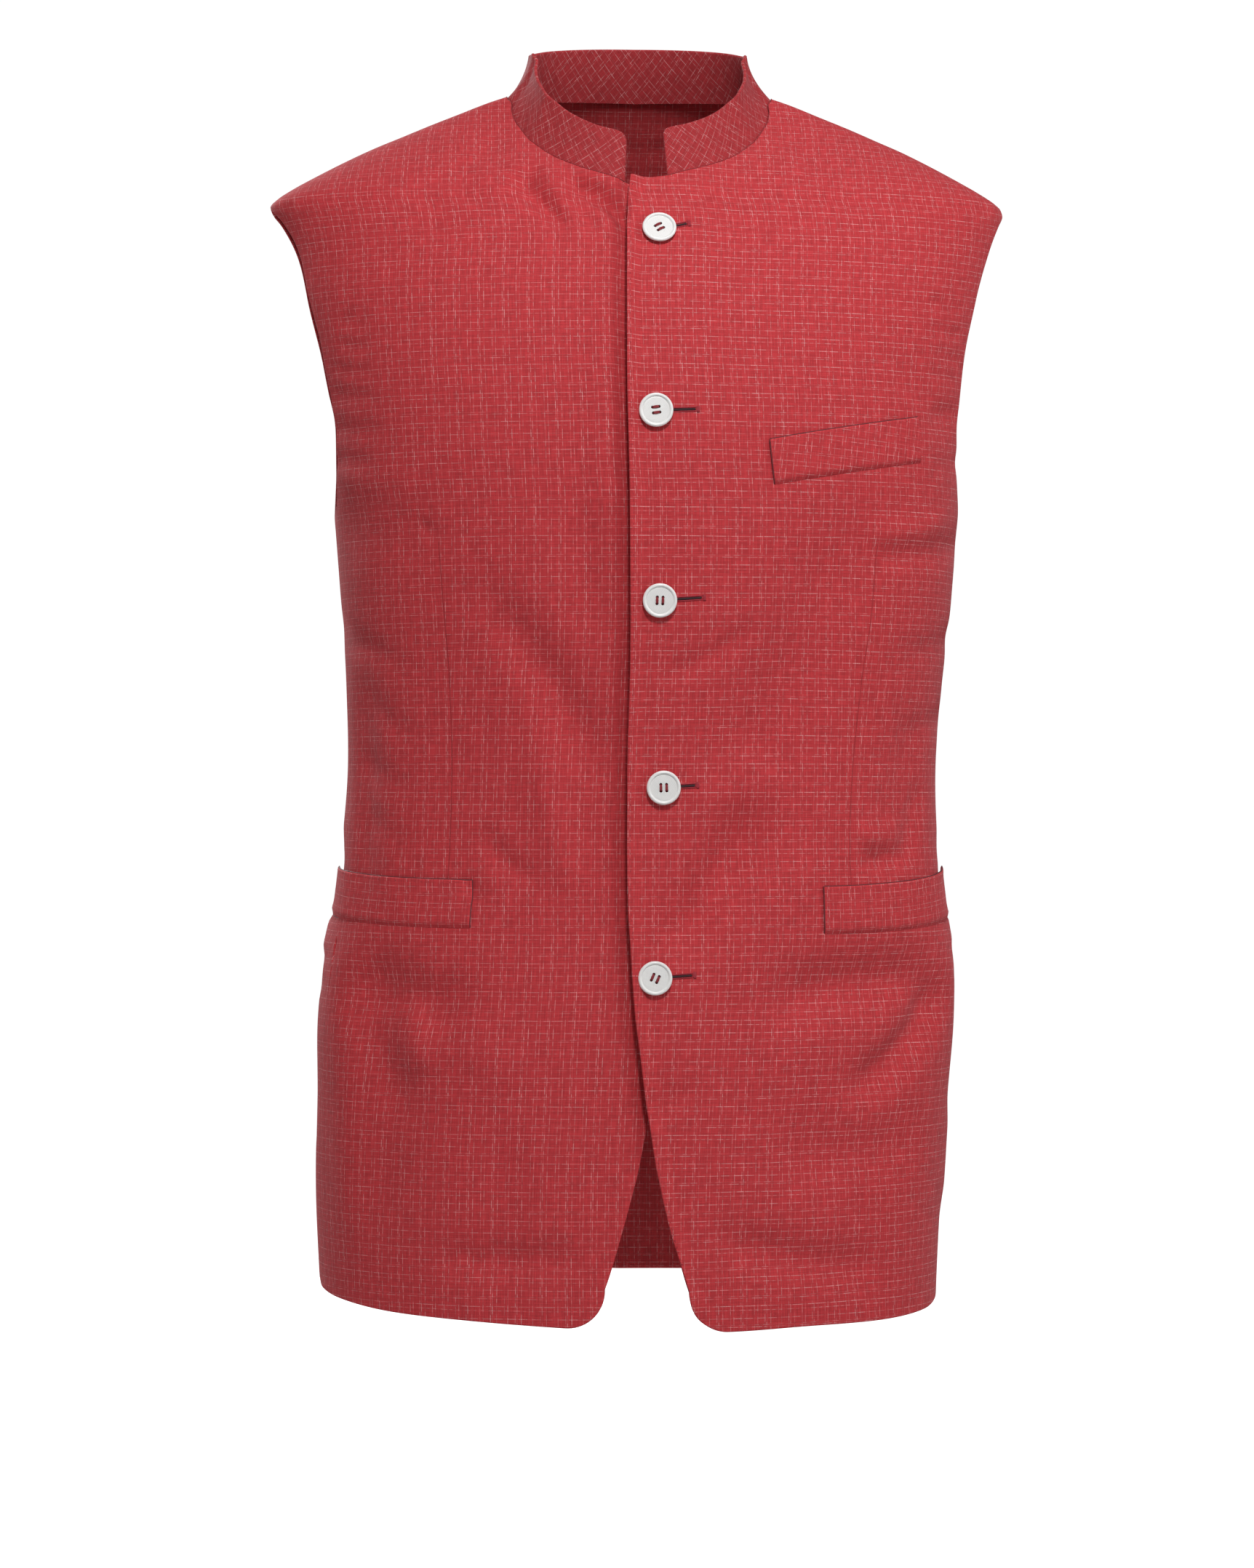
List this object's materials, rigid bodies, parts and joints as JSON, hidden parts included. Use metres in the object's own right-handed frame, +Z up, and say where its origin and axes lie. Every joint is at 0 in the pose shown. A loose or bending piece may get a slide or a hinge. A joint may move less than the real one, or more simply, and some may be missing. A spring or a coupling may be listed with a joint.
{
  "type": "nehru jacket",
  "caption": "Sleeveless band-collar jacket in red handloom check, buttoned down the front, with a breast pocket, hip pockets and side slits, in its worn hollow form.",
  "frame": {"origin": "neck base: level with the inner ends of the shoulder seams, midway between the sides and midway from front to back of the neck opening", "axes": "+Z up, -Y to the front, +X to the wearer's left"},
  "size_m": [0.4524, 0.2604, 0.7883],
  "materials": {
    "cloth": "matt red cotton handloom with a fine broken check of pale threads",
    "button": "white plastic with a satin rim and a finely grained centre"
  },
  "bodies": {
    "root": {"front_left": "cloth", "front_right": "cloth", "back": "cloth", "collar": "cloth", "welt_chest": "cloth", "welt_hip_left": "cloth", "welt_hip_right": "cloth", "button_1": "button", "button_2": "button", "button_3": "button", "button_4": "button", "button_5": "button"}
  },
  "joints": []
}
